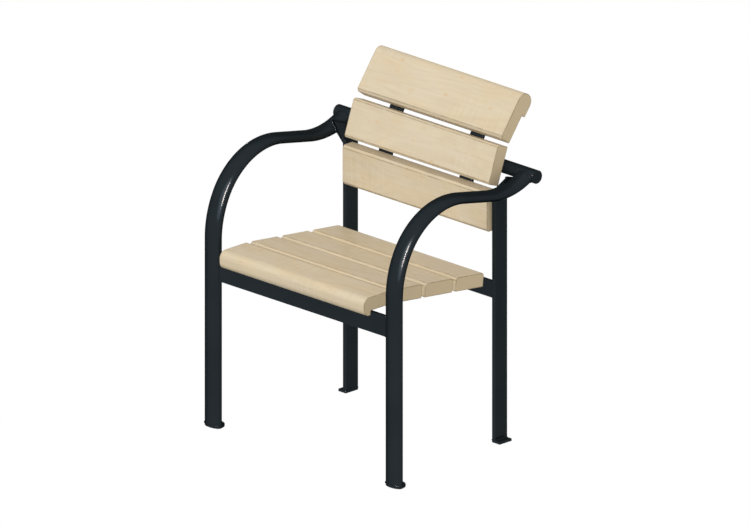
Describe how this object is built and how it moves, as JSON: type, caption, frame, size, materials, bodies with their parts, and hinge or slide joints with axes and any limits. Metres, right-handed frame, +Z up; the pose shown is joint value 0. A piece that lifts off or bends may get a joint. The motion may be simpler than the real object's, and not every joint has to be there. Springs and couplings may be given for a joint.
{
  "type": "outdoor armchair",
  "caption": "Outdoor park armchair with looped oval-tube arms that run down into the front legs, flat-bar rear legs, and broad wooden slats on the seat and the leaning back.",
  "frame": {"origin": "On the ground, under the middle of the chair's overall box.", "axes": "+X to the right as seen from in front of the chair, +Y from the front of the seat to the back, +Z up."},
  "size_m": [0.645, 0.541, 0.8179],
  "materials": {
    "frame_steel": "satin powder coat",
    "slat_wood": "smooth, clear oiled",
    "fastener_steel": "zinc plated"
  },
  "bodies": {
    "root": {"rear_cross_tube": "frame_steel", "front_cross_bar": "frame_steel", "rear_cross_bar": "frame_steel", "front_leg_arm_left": "frame_steel", "rear_leg_left": "frame_steel", "tube_end_disc_left": "frame_steel", "seat_support_left": "frame_steel", "back_support_left": "frame_steel", "front_foot_left": "frame_steel", "rear_foot_left": "frame_steel", "front_leg_arm_right": "frame_steel", "rear_leg_right": "frame_steel", "tube_end_disc_right": "frame_steel", "seat_support_right": "frame_steel", "back_support_right": "frame_steel", "front_foot_right": "frame_steel", "rear_foot_right": "frame_steel", "seat_slat_1": "slat_wood", "seat_slat_2": "slat_wood", "seat_slat_3": "slat_wood", "seat_slat_4": "slat_wood", "back_slat_lower": "slat_wood", "back_slat_middle": "slat_wood", "back_slat_top": "slat_wood", "screws_seat_slat_1": "fastener_steel", "screws_seat_slat_2": "fastener_steel", "screws_seat_slat_3": "fastener_steel", "screws_seat_slat_4": "fastener_steel", "screws_back_slat_lower": "fastener_steel", "screws_back_slat_middle": "fastener_steel", "screws_back_slat_top": "fastener_steel", "washers_seat_slat_1": "fastener_steel", "washers_seat_slat_2": "fastener_steel", "washers_seat_slat_3": "fastener_steel", "washers_seat_slat_4": "fastener_steel", "washers_back_slat_lower": "fastener_steel", "washers_back_slat_middle": "fastener_steel", "washers_back_slat_top": "fastener_steel"}
  },
  "joints": []
}
